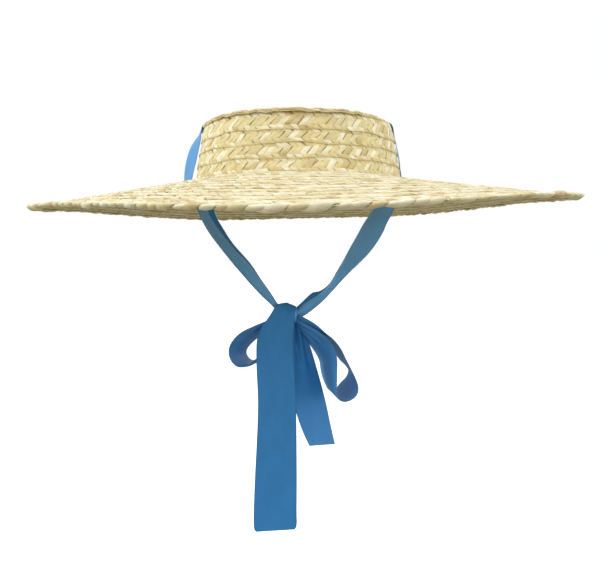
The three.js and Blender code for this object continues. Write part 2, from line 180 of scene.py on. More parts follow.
# %% [markdown]
# ## The skins that the plait follows
# Crown and brim are sewn from long rows of plait, each lapped over the next. One smooth shell
# would be simpler, but it has no laps. So each row gets a middle surface of its own, a function
# of the angle round the head and of the share of the row's width: 0 at its free edge, 1 at the
# edge that is tucked under the next row. The sizes are the CAD model's own, in millimetres.

# %% Uneven lines and soft steps
def ripple(angle, seed, size, waves=(6, 9, 14)):
    """A slow uneven wave round the head: three sines with drawn phases."""
    phases = np.random.default_rng(seed).uniform(0, TURN, 3)
    parts = [np.sin(w * angle + phase) for w, phase in zip(waves, phases)]
    return size * (parts[0] + 0.7 * parts[1] + 0.5 * parts[2]) / 1.6


def soft_step(x):
    """0 below 0, 1 above 1, and an even rise between them."""
    x = np.clip(x, 0, 1)
    return x * x * (3 - 2 * x)


def free_edge(share):
    """1 at a row's free edge, fading within a few hundredths of its width."""
    return np.exp(-np.maximum(share, 0) / 0.05)


# %% How high the brim is
FOOT_X, FOOT_Y = 88.4, 101.4
BRIM_WIDTH = 134
FLARE_HEIGHT, FLARE_REACH = 1.6, 6.5
DROOP_SIDE, DROOP_FRONT, DROOP_BACK = 20.3, 31.6, 26.4
SIDE_TILT = 3.7
RIM_WAVE, RIM_WAVES = 1.1, 5


def brim_height(distance, angle):
    """The droop grows evenly outwards, more at front and back than at the sides, with a short
    flare at the crown and five low waves at the rim."""
    share = distance / BRIM_WIDTH
    sine = np.sin(angle)
    end = np.where(sine < 0, DROOP_FRONT, DROOP_BACK)
    droop = DROOP_SIDE + (end - DROOP_SIDE) * sine**2 - SIDE_TILT * np.cos(angle)
    wave = RIM_WAVE * share**2 * np.sin(RIM_WAVES * angle)
    flare = FLARE_HEIGHT * (1 - np.exp(-distance / FLARE_REACH))
    return wave - flare - (droop - FLARE_HEIGHT) * share


print("the rim hangs", round(-float(brim_height(BRIM_WIDTH, -math.pi / 2)), 1), "mm down in front")

# %% Room for the ribbon in the brim
RIBBON_WIDTH = 40.0
# Each slot: how far out its middle is, and how much further out its far end is
SLOT_RIGHT, SLOT_LEFT = (89.3, 2.5), (99.1, 6.7)
# How far the straw's middle stays from the ribbon: the right slot, and both sides of the left
ROOM_RIGHT, ROOM_LEFT = 0.5, 0.9


def slot_place(angle, slot):
    """How far the ribbon in a slot is from the crown's foot at this angle, and how fully the
    rows open there: 1 across the ribbon, 0 a little beyond its edges."""
    y = FOOT_Y * np.sin(angle)
    skew = np.clip(2 * y / RIBBON_WIDTH, -1.3, 1.3)
    away = slot[0] + slot[1] * skew - FOOT_X * np.abs(np.cos(angle))
    opening = 1 - soft_step((np.abs(y) - RIBBON_WIDTH / 2 + 0.4) / 3.0)
    return away, opening


print("slots:", SLOT_LEFT[0], "mm out on the left and", SLOT_RIGHT[0], "mm on the right")

# %% Rows of the brim
BRIM_ROWS = 11
BRIM_SHIFT = 4.6
ROW_LAP = 2.5
SEAM = 0.15
BRIM_ROW = BRIM_WIDTH / BRIM_ROWS + ROW_LAP - SEAM
print("a brim row is", round(BRIM_ROW, 1), "mm wide with its lap")


def brim_skin(row):
    """The middle surface of one brim row: its outer edge lies on the next row."""
    outer = BRIM_WIDTH * (row + 1) / BRIM_ROWS - SEAM
    inner = BRIM_WIDTH * row / BRIM_ROWS - ROW_LAP
    last = row == BRIM_ROWS - 1

    def skin(angle, share):
        edge_out = outer + ripple(angle, 40 + row, 0.0 if last else 0.35)
        edge_in = inner + 0 * angle
        right, left = np.cos(angle) > 0, np.cos(angle) < 0
        away, opening = slot_place(angle, SLOT_LEFT)
        if row == 0:
            edge_out = edge_out + left * opening * (away - ROOM_LEFT - edge_out)
            away, opening = slot_place(angle, SLOT_RIGHT)
            edge_in = edge_in + right * opening * (away + ROOM_RIGHT - edge_in)
        if row == 1:
            edge_in = edge_in + left * opening * (away + ROOM_LEFT - edge_in)
        distance = edge_out + (edge_in - edge_out) * share
        x = BRIM_SHIFT * np.maximum(distance, 0) / BRIM_WIDTH + (FOOT_X + distance) * np.cos(angle)
        y = (FOOT_Y + distance) * np.sin(angle)
        z = brim_height(np.maximum(distance, 0), angle) + 0.2 - 1.25 * share
        if not last:
            z = z - 0.45 * free_edge(share)
        z = z + ripple(angle, 90 + row, 0.16, (23, 37, 58)) * (1 - share)
        return np.stack([x, y, z], -1)

    return skin


# %% Rows of the crown's side
CROWN_LEAN, CROWN_SWAY = 9.2, 3.0
CROWN_SHARES = (0.30, 0.24, 0.25, 0.21)
SIDE_LOW, SIDE_HIGH = 0.3, 43.8
SWELL_RIGHT, SWELL_LEFT = 5.0, 2.6


def crown_skin(row):
    """The middle surface of one row of the crown's side, counted from the top: its free edge
    hangs over the row below and its upper part leans in behind the row above. The side swells a
    little at both ends of the oval's short way."""
    height = SIDE_HIGH - SIDE_LOW
    top = SIDE_HIGH - height * sum(CROWN_SHARES[:row])
    foot = top - height * CROWN_SHARES[row]
    if row == len(CROWN_SHARES) - 1:
        foot -= 1.5
    lap = 0.6 if row == 0 else 3.5

    def skin(angle, share):
        rise = (top - foot + lap) * share
        z = foot + rise + ripple(angle, 20 + row, 0.7) * (1 - share)
        out = -0.6 - 1.15 * rise / (top - foot) - 0.2 * free_edge(share)
        out = out + ripple(angle, 30 + row, 0.12, (23, 37, 58)) * (1 - share)
        level = np.clip((z - SIDE_LOW) / height, 0, 1)
        swell = SWELL_RIGHT * level**0.75 * np.maximum(np.cos(angle), 0) ** 2
        swell = swell + (SWELL_LEFT - 0.9 * level) * np.minimum(np.cos(angle), 0) ** 2
        inset = CROWN_LEAN * (z - SIDE_LOW) / height - swell
        x = (FOOT_X + out - inset) * np.cos(angle) - CROWN_SWAY * (z - SIDE_LOW) / height
        y = (FOOT_Y + out - inset) * np.sin(angle)
        return np.stack([x, y, z], -1)

    return skin, top - foot + lap


print("side rows, mm wide:", [round(crown_skin(row)[1], 1) for row in range(4)])

# %% Rows of the tip, and the row that turns over the lip
CROWN_HEIGHT = 46.5
TIP_X, TIP_Y = 81.5, 94.5
TIP_ROWS = 7
LIP_ROUND, LIP_DEPTH = 2.6, 3.2
LIP_SHIFT = 1.5


def tip_skin(row):
    """The middle surface of one row of the flat tip: a ring that lies on the next one out."""
    flat = TIP_X - LIP_ROUND
    outer = flat * (row + 1) / TIP_ROWS
    inner = max(flat * row / TIP_ROWS - ROW_LAP, 0.4)

    def skin(angle, share):
        half = outer + ripple(angle, 60 + row, 0.3) + (inner - outer) * share
        x = half * np.cos(angle) - CROWN_SWAY
        y = (half + TIP_Y - TIP_X) * np.sin(angle)
        return np.stack([x, y, CROWN_HEIGHT - 0.6 - 1.6 * share + 0 * half], -1)

    return skin, outer - inner


def lip_skin():
    """The tip's last row: flat, then round the lip and down over the side. On the right it
    moves out with the swell of the side."""
    round_length = LIP_ROUND * math.pi / 2
    straight = LIP_DEPTH - LIP_ROUND - 0.5
    flat_length = (TIP_X - LIP_ROUND) / TIP_ROWS + ROW_LAP
    width = straight + round_length + flat_length
    radius = LIP_ROUND - 0.6

    def skin(angle, share):
        along = width * share
        bend = np.clip((along - straight) / round_length, 0, 1) * math.pi / 2
        inward = np.maximum(along - straight - round_length, 0)
        half = TIP_X - LIP_ROUND + radius * np.cos(bend) - inward - 0.7 * np.exp(-along / 1.2)
        half = half + LIP_SHIFT * np.maximum(np.cos(angle), 0) ** 2 * (1 - inward / flat_length)
        z = CROWN_HEIGHT - LIP_ROUND + radius * np.sin(bend)
        uneven = ripple(angle, 71, 0.45) + ripple(angle, 72, 0.5, (31, 45, 67))
        z = z - np.maximum(straight - along, 0) - 0.12 * inward + uneven * (1 - share)
        x = half * np.cos(angle) - CROWN_SWAY
        y = (half + TIP_Y - TIP_X) * np.sin(angle)
        return np.stack([x, y, z], -1)

    return skin, width


print("the lip's row is", round(lip_skin()[1], 1), "mm wide")

# %% [markdown]
# ## Plait from single splints
# A row of plait is flat splints that lean both ways, pass over and under each other and fold at
# the row's edge. One bumped surface would look printed, and thousands of separate objects would
# be slow. So every splint is a small closed strip, six stations long and six points round, and
# all the splints of a row are worked out at once as arrays in one mesh.

# %% Points on a skin
def unit(v):
    """Arrows divided by their own length."""
    return v / np.maximum(np.linalg.norm(v, axis=-1, keepdims=True), 1e-9)


def running_length(line):
    """How far along a line of points each one lies."""
    return np.r_[0, np.cumsum(np.linalg.norm(np.diff(line, axis=0), axis=1))]


def round_the_row(skin, share=0.4, count=721):
    """Angles round the head, and how far along the row each one lies."""
    angles = np.linspace(0, TURN, count)
    return angles, running_length(skin(angles, np.full(count, share)))


def place_on_skin(skin, angle, share, height):
    """Points at a height over a skin, and whether the skin's own turn is left-handed there."""
    step = 1e-3
    here = skin(angle, share)
    normal = unit(np.cross(skin(angle + step, share) - here, skin(angle, share + step) - here))
    flat = np.hypot(here[..., 0], here[..., 1])
    facing = (normal[..., 0] * here[..., 0] + normal[..., 1] * here[..., 1]) / flat + normal[..., 2]
    side = np.where(facing < 0, -1.0, 1.0)
    return here + normal * (side * height)[..., None], side.mean() < 0


# %% Faces of grids and of strips
def grid_faces(rows, columns, rows_close, columns_close, flipped=False):
    """Four-sided faces of a grid of points, whose rows and columns may each close into rings."""
    i, j = np.meshgrid(np.arange(rows - (not rows_close)), np.arange(columns - (not columns_close)),
                       indexing="ij")
    below, beside = (i + 1) % rows, (j + 1) % columns
    corners = [i * columns + j, below * columns + j, below * columns + beside, i * columns + beside]
    faces = np.stack(corners, -1).reshape(-1, 4)
    return faces[:, ::-1] if flipped else faces


def tube_faces(count, stations, points, flipped):
    """Four-sided faces for many closed strips, with their two ends shut."""
    k, j = np.meshgrid(np.arange(stations - 1), np.arange(points), indexing="ij")
    nxt = (j + 1) % points
    walls = np.stack([k * points + j, k * points + nxt, (k + 1) * points + nxt, (k + 1) * points + j], -1)
    i = np.arange(points // 2 - 1)
    end = np.stack([i, i + 1, points - 2 - i, points - 1 - i], -1)
    faces = np.concatenate([walls.reshape(-1, 4), end[:, ::-1], end + (stations - 1) * points])
    if flipped:
        faces = faces[:, ::-1]
    starts = np.arange(count) * stations * points
    return (starts[:, None, None] + faces[None]).reshape(-1, 4)


def join_rows(rows):
    """Several sets of points, faces and marks as one."""
    starts = np.cumsum([0] + [len(points) for points, _, _ in rows])
    faces = [faces + start for (_, faces, _), start in zip(rows, starts)]
    return np.concatenate([r[0] for r in rows]), np.concatenate(faces), np.concatenate([r[2] for r in rows])


# %% Marks that colour the splints
def each(values):
    """One value for each splint, ready to be spread over its stations and points."""
    return values[:, None, None]


def splint_tints(count, rng, pale):
    """How pale each splint is, 0 tan, 0.5 golden, 1 cream: neighbours are alike in runs."""
    slow = np.convolve(rng.normal(size=count + 12), np.ones(6) / 6, "same")[6:6 + count]
    draw = rng.uniform(size=count)
    draw = draw - 0.35 * slow
    tint = np.where(draw < 0.1, 0.15, np.where(draw < 0.1 + pale, 0.9, 0.5))
    return np.clip(tint + rng.normal(0, 0.07, count), 0, 1)


def splint_marks(shape, across, along, rng, pale):
    """Four marks at each point: across and along its splint, a draw of its own, and its tint."""
    mark = np.empty(shape + (4,))
    mark[..., 0] = across * 2
    mark[..., 1] = along
    mark[..., 2] = each(rng.uniform(0, 100, shape[0]))
    mark[..., 3] = each(splint_tints(shape[0], rng, pale))
    return mark.reshape(-1, 4)


# %% Crossing splints
PITCH = 5.3
LEVEL = PITCH / 2
WEAVE_RISE, HALF_THICK = 0.26, 0.25
SECTION_ACROSS = np.array([-0.5, -0.37, 0.37, 0.5, 0.37, -0.37])
SECTION_HEIGHT = np.array([0.0, 1.0, 1.0, 0.0, -1.0, -1.0])
STATION_RISE = WEAVE_RISE * np.array([-0.3, -1, 1, 1, -1, -1])
STATION_THICK = HALF_THICK * np.array([0.75, 1, 1, 1, 1, 0.8])
STATION_PLAY = np.array([0.2, 1, 1, 1, 1, 0])


def leaning_splints(skin, width, lean, over, stretch, pale, rng):
    """All the splints of a row that lean one way. A splint's middle line is place = start + lean
    times run. Between the two levels in over it is up where it leans forward and down where it
    leans back. Each is drawn a little off in place, width, height, tilt and slope."""
    angles, reach = round_the_row(skin)
    count = int(round(reach[-1] / PITCH))
    step = reach[-1] / count
    low, high = over
    t = LEVEL * np.array([0, low - 0.3, low + 0.3, high - 0.3, high + 0.3, 0])
    t[0], t[-1] = -0.3, width
    run = t + stretch * np.clip(t, 0, 2.6)
    start = (np.arange(count) + rng.normal(0, 0.05, count)) * step
    wide = step * rng.uniform(1.02, 1.16, count)
    lift = rng.normal(0, 0.05, count)
    tilt = rng.normal(0, 0.05, count)
    skew = 1 + rng.normal(0, 0.05, count)
    s = each(start) + lean * run[:, None] * each(skew) + each(wide) * SECTION_ACROSS
    shift = rng.normal(0, 0.2, (count, len(t), 1)) * LEVEL * STATION_PLAY[:, None]
    inward = np.broadcast_to(t[:, None], s.shape) + shift
    height = lean * STATION_RISE[:, None] + STATION_THICK[:, None] * SECTION_HEIGHT
    height = height + each(lift) + each(tilt) * SECTION_ACROSS * 2
    angle = np.interp(s % reach[-1], reach, angles)
    placed, flipped = place_on_skin(skin, angle, inward / width, height)
    faces = tube_faces(count, len(t), len(SECTION_ACROSS), flipped)
    return placed.reshape(-1, 3), faces, splint_marks(s.shape, SECTION_ACROSS, inward * 1.41, rng, pale)


# %% The ground behind the splints, and the fold along their free edge
def ground_band(skin, sides=144, stops=(0.04, 0.12, 0.25, 0.4, 0.7, 0.97)):
    """A thin closed band inside the row that fills the small gaps between the splints. Its tint of -1 makes
    the fibre group paint it darker than tan: painted shade in the gaps.
    """
    angle = np.linspace(0, TURN, sides, endpoint=False)
    share = np.r_[stops, stops[::-1]]
    height = np.r_[np.full(len(stops), 0.06), np.full(len(stops), -0.06)]
    a, s = np.meshgrid(angle, share, indexing="ij")
    placed, flipped = place_on_skin(skin, a, s, np.broadcast_to(height, a.shape))
    mark = np.zeros((a.size, 4))
    # A tint of -1 marks the band: painted shade, darker than any splint
    mark[:, 3] = -1
    return placed.reshape(-1, 3), grid_faces(sides, len(share), True, True, flipped), mark


def edge_cord(skin, width, rng, size, sides=300):
    """The straight fold along the free edge: a thin closed ring of six points round, whose
    height and tint wander along it."""
    angle = np.linspace(0, TURN, sides, endpoint=False)
    turn = np.linspace(0, TURN, 6, endpoint=False)
    wander = np.convolve(rng.normal(size=sides + 8), np.ones(5) / 5, "same")[4:4 + sides]
    a = np.broadcast_to(angle[:, None], (sides, 6))
    share = (0.15 + size * np.cos(turn) + 0.12 * wander[:, None]) / width
    height = size * np.sin(turn) + 0.1 * np.roll(wander, 9)[:, None]
    placed, flipped = place_on_skin(skin, a, share, height)
    length = round_the_row(skin)[1][-1]
    mark = np.zeros((sides, 6, 4))
    mark[..., 0] = 0.5 * np.cos(turn)
    mark[..., 1] = (angle / TURN * length)[:, None]
    mark[..., 3] = np.clip(0.42 + 0.35 * wander, 0.1, 0.9)[:, None]
    return placed.reshape(-1, 3), grid_faces(sides, 6, True, True, flipped), mark.reshape(-1, 4)


def plait_row(skin, width, over, seed, pale=0.3, stretch=0.0, cord=0.4):
    """One row of plait: splints that lean both ways, the ground behind them and the edge."""
    rng = np.random.default_rng(seed)
    parts = [leaning_splints(skin, width, lean, over, stretch, pale, rng) for lean in (1, -1)]
    parts.append(ground_band(skin))
    if cord:
        parts.append(edge_cord(skin, width, rng, cord))
    return join_rows(parts)


# %% [markdown]
# ## The folds along the rim
# At the rim the splints of the last row are broad and turn over the edge, which makes the bumpy
# outline. A twisted cord would give bumps of one size. Here each fold is a closed strip of its
# own that follows a short table of stations, with a drawn width, so that no two are alike.

# %% Rim folds
FOLD_ACROSS = np.array([-0.5, -0.4, 0.0, 0.4, 0.5, 0.4, 0.0, -0.4])
FOLD_HEIGHT = np.array([-0.7, 0.4, 1.3, 0.4, -0.7, -1.2, -0.9, -1.2])
FOLD_THICK = 0.7
# How broad a fold is along the rim, and how much broader in front
FOLD_BROAD, FRONT_BROAD = 7.4, 4.0
# Stations of a fold: in from the rim, height, which way its outer face looks, and slip along
FOLD_PATH = np.array([
    [8.5, 0.3, 0.0, 1.0, 5.4], [5.0, 0.9, 0.0, 1.0, 3.6], [1.6, 1.2, -0.2, 0.98, 1.6],
    [-0.3, 1.2, -0.6, 0.8, 0.6], [-1.0, 0.6, -1.0, 0.1, 0.1], [-0.5, -0.3, -0.85, -0.5, -0.6],
    [0.7, -1.2, -0.6, -0.8, -1.4], [2.6, -1.8, -0.3, -0.95, -2.8], [6.0, -1.7, 0.0, -1.0, -5.0]])


def rim_folds(skin, width, seed):
    """Broad splints folded over the rim: each is a closed strip, eight points round, that comes
    out over the edge, turns under it and runs back in, slipping along the rim as it goes."""
    rng = np.random.default_rng(seed)
    angles, reach = round_the_row(skin, 0.0, 1441)
    front = 0.75 * reach[-1]
    places = [0.0]
    while places[-1] < reach[-1]:
        broad = FOLD_BROAD + FRONT_BROAD * math.exp(-(((places[-1] - front) / 60) ** 2))
        places.append(places[-1] + broad * rng.uniform(0.68, 1.32))
    places = np.array(places) * reach[-1] / places[-1]
    broad = np.diff(places)
    count = len(broad)
    size = each(np.clip(broad / 9.5, 0.7, 1.25) * rng.uniform(0.85, 1.1, count))
    path = FOLD_PATH[:, None]
    thick = FOLD_THICK * size * FOLD_HEIGHT
    s = each(places[:-1]) + path[..., 4] * size + 1.08 * each(broad) * FOLD_ACROSS
    inward = path[..., 0] + path[..., 2] * thick
    height = path[..., 1] * size + path[..., 3] * thick + rng.normal(0, 0.1, (count, 1, 1))
    angle = np.interp(s % reach[-1], reach, angles)
    placed, flipped = place_on_skin(skin, angle, inward / width, height)
    along = np.arange(len(FOLD_PATH))[:, None] * 2.4
    marks = splint_marks(s.shape, FOLD_ACROSS, along, rng, 0.4)
    return placed.reshape(-1, 3), tube_faces(count, len(FOLD_PATH), 8, flipped), marks


# %% A mesh from points, faces and marks
def make_piece(name, points, faces, marks, look, caps=()):
    """A smooth mesh object at the origin from millimetre points, with a mark on each point."""
    mesh = bpy.data.meshes.new(name)
    mesh.from_pydata((points * MM).tolist(), [], faces.tolist() + list(caps))
    attribute = mesh.attributes.new("marks", "FLOAT_COLOR", "POINT")
    attribute.data.foreach_set("color", marks.astype(np.float32).ravel())
    mesh.polygons.foreach_set("use_smooth", np.full(len(mesh.polygons), True))
    mesh.materials.append(look)
    made = bpy.data.objects.new(name, mesh)
    bpy.context.scene.collection.objects.link(made)
    triangles = sum(len(p.vertices) - 2 for p in mesh.polygons)
    print(name, "has", triangles, "triangles")
    return made


# %% [markdown]
# ## Straw
# A splint is the split stem of a grass: glossy outside, with fine fibres along it, and each one
# is a little paler or browner than the next. A pattern on the hat's own coordinates would run
# straight across the bends. The marks on the mesh say how far a point is across and along its
# own splint, so the fibres follow it. Crown and brim share one node group with their own colours,
# and straw and satin share two smaller ones.

# %% Helpers for node groups
def new_group(name, inputs, outputs):
    """A node group with named sockets, and the sockets that bring values in and take them out."""
    made = bpy.data.node_groups.new(name, "ShaderNodeTree")
    for way, sockets in (("INPUT", inputs), ("OUTPUT", outputs)):
        for socket, kind in sockets.items():
            made.interface.new_socket(socket, in_out=way, socket_type="NodeSocket" + kind)
    return made, made.nodes.new("NodeGroupInput").outputs, made.nodes.new("NodeGroupOutput").inputs


def use_group(tree, group, **values):
    """Places a group in a tree with its own values, and gives its outputs."""
    return add_node(tree, "ShaderNodeGroup", {"node_tree": group}, **values).outputs


def shaded(tree, colour, shade):
    """A colour made paler or darker by a factor."""
    return add_node(tree, "ShaderNodeVectorMath", {"operation": "SCALE"}, Vector=colour,
                    Scale=shade).outputs[0]


# %% Two effects that straw and satin share
# Noise on the marks of a surface, drawn out along it by one scale for each way
grain, given, put = new_group(
    "drawn-out grain", {"Marks": "Vector", "Scales": "Vector", "Detail": "Float", "Roughness": "Float"},
    {"Height": "Float"})
spread = add_node(grain, "ShaderNodeVectorMath", {"operation": "MULTIPLY"}, i0=given["Marks"],
                  i1=given["Scales"])
noise = add_node(grain, "ShaderNodeTexNoise", Vector=spread.outputs[0], Scale=1.0, Detail=given["Detail"],
                 Roughness=given["Roughness"])
grain.links.new(noise.outputs["Fac"], put["Height"])

# 1 in the middle of a splint or ribbon, and the depth at both its edges. On the straw this is painted shade
# in the lines between the splints; on the satin it is the tighter-woven edge.
edges, given, put = new_group(
    "shaded edges", {"Marks": "Vector", "Start": "Float", "End": "Float", "Depth": "Float"},
    {"Shade": "Float"})
across = add_node(edges, "ShaderNodeSeparateXYZ", Vector=given["Marks"]).outputs["X"]
size = add_node(edges, "ShaderNodeMath", {"operation": "ABSOLUTE"}, i0=across).outputs[0]
fall = remap(edges, size, (given["Start"], given["End"]), (1.0, given["Depth"]), "SMOOTHSTEP")
edges.links.new(fall, put["Shade"])
print("groups:", grain.name, "and", edges.name)

# %% Fibres along a splint
fibre, given, put = new_group(
    "straw fibres",
    {"Marks": "Vector", "Tint": "Float", "Tan": "Color", "Golden": "Color", "Cream": "Color"},
    {"Colour": "Color", "Roughness": "Float", "Height": "Float"})
marks = given["Marks"]
lines = use_group(fibre, grain, Marks=marks, Scales=(9.0, 0.35, 1.0), Detail=3.0, Roughness=0.6)["Height"]
blotch = use_group(fibre, grain, Marks=marks, Scales=(0.8, 0.22, 1.0), Detail=2.0, Roughness=0.5)["Height"]
# Splint edges darkened to 0.76: painted shade in the lines between splints
edge = use_group(fibre, edges, Marks=marks, Start=0.8, End=1.0, Depth=0.76)["Shade"]
darker = mix_colours(fibre, remap(fibre, given["Tint"], (0.0, 0.5)), given["Tan"], given["Golden"])
toned = mix_colours(fibre, remap(fibre, given["Tint"], (0.5, 1.0)), darker, given["Cream"])
streak = remap(fibre, lines, (0.25, 0.75), (0.86, 1.08))
spot = remap(fibre, blotch, (0.3, 0.7), (0.88, 1.08))
# Darker where the tint is below 0, on the band behind the splints: painted shade in the gaps
gap_shade = remap(fibre, given["Tint"], (-0.6, -0.2), (0.8, 1.0))
shade = times(fibre, streak, spot, edge, gap_shade)
fibre.links.new(shaded(fibre, toned, shade), put["Colour"])
fibre.links.new(remap(fibre, lines, (0.3, 0.7), (0.5, 0.66)), put["Roughness"])
fibre.links.new(lines, put["Height"])
print("straw fibres:", len(fibre.nodes), "nodes")


# %% Two straws
def straw_look(name, tan, golden, cream):
    """Straw with its own three colours."""
    made, tree, out = new_material(name)
    marks = add_node(tree, "ShaderNodeAttribute", {"attribute_name": "marks"})
    made_of = use_group(tree, fibre, Marks=marks.outputs["Vector"], Tint=marks.outputs["Alpha"],
                        Tan=(*tan, 1), Golden=(*golden, 1), Cream=(*cream, 1))
    bump = add_node(tree, "ShaderNodeBump", Strength=0.35, Distance=0.0004, Height=made_of["Height"])
    straw = add_node(tree, "ShaderNodeBsdfPrincipled", Base_Color=made_of["Colour"],
                     Roughness=made_of["Roughness"], Normal=bump.outputs[0])
    straw.inputs["Specular IOR Level"].default_value = 0.35
    straw.inputs["Coat Weight"].default_value = 0.06
    straw.inputs["Coat Roughness"].default_value = 0.3
    tree.links.new(straw.outputs[0], out.inputs[0])
    return made


crown_straw = straw_look("crown straw", (0.60, 0.46, 0.21), (0.77, 0.65, 0.33), (0.92, 0.86, 0.64))
# The brim's cream is set a little darker than the crown's: painted shade that evens out the stronger light
# on the brim's top
brim_straw = straw_look("brim straw", (0.60, 0.45, 0.22), (0.76, 0.67, 0.39), (0.87, 0.82, 0.61))

# %% [markdown]
# ## The crown
# Four rows make the side, each hanging over the row below. The tip is a flat oval coil whose
# last row turns down over the side. A coil could be one long spiral. Closed ovals look the same,
# and each can then have its own seed.

# %% Crown side
side_rows = []
for row in range(len(CROWN_SHARES)):
    skin, width = crown_skin(row)
    side_rows.append(plait_row(skin, width, (1.1, 3.6) if row == 0 else (1.0, 3.1), 100 + row))
crown_side = make_piece("straw_crown_side", *join_rows(side_rows), crown_straw)
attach(crown_side, "root")
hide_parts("crown_side")

# %% Crown tip
tip_rows = []
for row in range(TIP_ROWS - 1):
    skin, width = tip_skin(row)
    tip_rows.append(plait_row(skin, width, (0.5, 2.5), 200 + row))
skin, width = lip_skin()
tip_rows.append(plait_row(skin, width, (0.9, 3.0), 207, pale=0.1, stretch=1.6))
crown_tip = make_piece("straw_crown_tip", *join_rows(tip_rows), crown_straw)
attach(crown_tip, "root")
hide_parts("crown_tip")

# %% [markdown]
# ## The brim
# Eleven rows widen the brim, and the folds close its rim. Where the ribbon goes through, the
# sewing is left open: holes could be cut, but here the rows beside it simply stand apart, as
# they do on a real hat. Two meshes share the rows, so that neither grows too heavy.

# %% Brim rows
INNER_ROWS = 7
brim_rows = []
for row in range(BRIM_ROWS):
    brim_rows.append(plait_row(brim_skin(row), BRIM_ROW, (0.8, 2.9), 300 + row, pale=0.42, cord=0.0))
brim_rows.append(rim_folds(brim_skin(BRIM_ROWS - 1), BRIM_ROW, 330))
inner_brim = make_piece("straw_brim_inner", *join_rows(brim_rows[:INNER_ROWS]), brim_straw)
outer_brim = make_piece("straw_brim_outer", *join_rows(brim_rows[INNER_ROWS:]), brim_straw)
for piece in (inner_brim, outer_brim):
    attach(piece, "root")
    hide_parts("brim")

# %% [markdown]
# ## The ribbon
# The ribbon is satin, 40 mm wide, over the crown, down through the slots and into a bow. A cloth
# simulation could drape it, but a tied bow never falls into the same folds twice. So each
# stretch is a thin closed sheet between lines that run along it, its edges and creases, placed
# where they are on the real one. Where the lines draw together, pleats take up the width.

# %% A smooth line through rows
def smooth_line(rows, places):
    """A centripetal curve through the rows of a table, at places counted in rows. Between two
    rows the curve's speed is the gap in distance to the power of one half."""
    rows = np.asarray(rows, float)
    count = len(rows)
    padded = np.concatenate([2 * rows[:1] - rows[1:2], rows, 2 * rows[-1:] - rows[-2:-1]])
    i = np.clip(np.floor(places).astype(int), 0, count - 2)
    w = (places - i)[:, None]
    p0, p1, p2, p3 = (padded[i + k] for k in range(4))
    d0, d1, d2 = (np.maximum(np.linalg.norm(b[:, :3] - a[:, :3], axis=1) ** 0.5, 1e-4)[:, None]
                  for a, b in ((p0, p1), (p1, p2), (p2, p3)))
    t1 = ((p1 - p0) / d0 - (p2 - p0) / (d0 + d1) + (p2 - p1) / d1) * d1
    t2 = ((p2 - p1) / d1 - (p3 - p1) / (d1 + d2) + (p3 - p2) / d2) * d1
    return p1 + t1 * w + (-3 * p1 + 3 * p2 - 2 * t1 - t2) * w**2 + (2 * p1 - 2 * p2 + t1 + t2) * w**3


# %% A sheet between lines
WALL = 0.32
HALF = RIBBON_WIDTH / 2
ACROSS = np.linspace(-HALF, HALF, 49)
CREASE = 0.9


def between_lines(lines, spots, spot):
    """Points across the ribbon, each on the straight way between its two nearest lines."""
    spot = np.clip(spot, -HALF, HALF)
    k = np.clip(np.searchsorted(spots, spot) - 1, 0, len(spots) - 2)
    low, high = np.asarray(spots)[k], np.asarray(spots)[k + 1]
    mix = ((spot - low) / (high - low))[:, None]
    stack = np.stack(lines)
    return np.swapaxes(stack[k], 0, 1) * (1 - mix) + np.swapaxes(stack[k + 1], 0, 1) * mix


def sheet_normal(sheet):
    """Which way the sheet's face looks at each point."""
    return unit(np.cross(np.gradient(sheet, axis=0), np.gradient(sheet, axis=1)))


def pleat_height(sheet, pleats):
    """The square root of full width squared less drawn width squared, over four times the
    number of pleats, evened out along the ribbon."""
    drawn = np.linalg.norm(np.diff(sheet, axis=1), axis=2).sum(1)
    height = np.sqrt(np.maximum(0.62 * RIBBON_WIDTH**2 - drawn**2, 0)) / (4 * max(pleats, 1))
    return np.convolve(np.pad(height, 4, "edge"), np.ones(9) / 9, "valid") * (pleats > 0)


def sheet_faces(n, m):
    """Both sides of a sheet of n by m points, and the narrow walls along its four edges."""
    top = grid_faces(n, m, False, False)
    under = top[:, ::-1] + n * m
    rim = np.concatenate([np.arange(m - 1), np.arange(n - 1) * m + m - 1,
                          (n - 1) * m + np.arange(m - 1, 0, -1), np.arange(n - 1, 0, -1) * m])
    after = np.roll(rim, -1)
    return np.concatenate([top, under, np.stack([rim, after, after + n * m, rim + n * m], 1)])


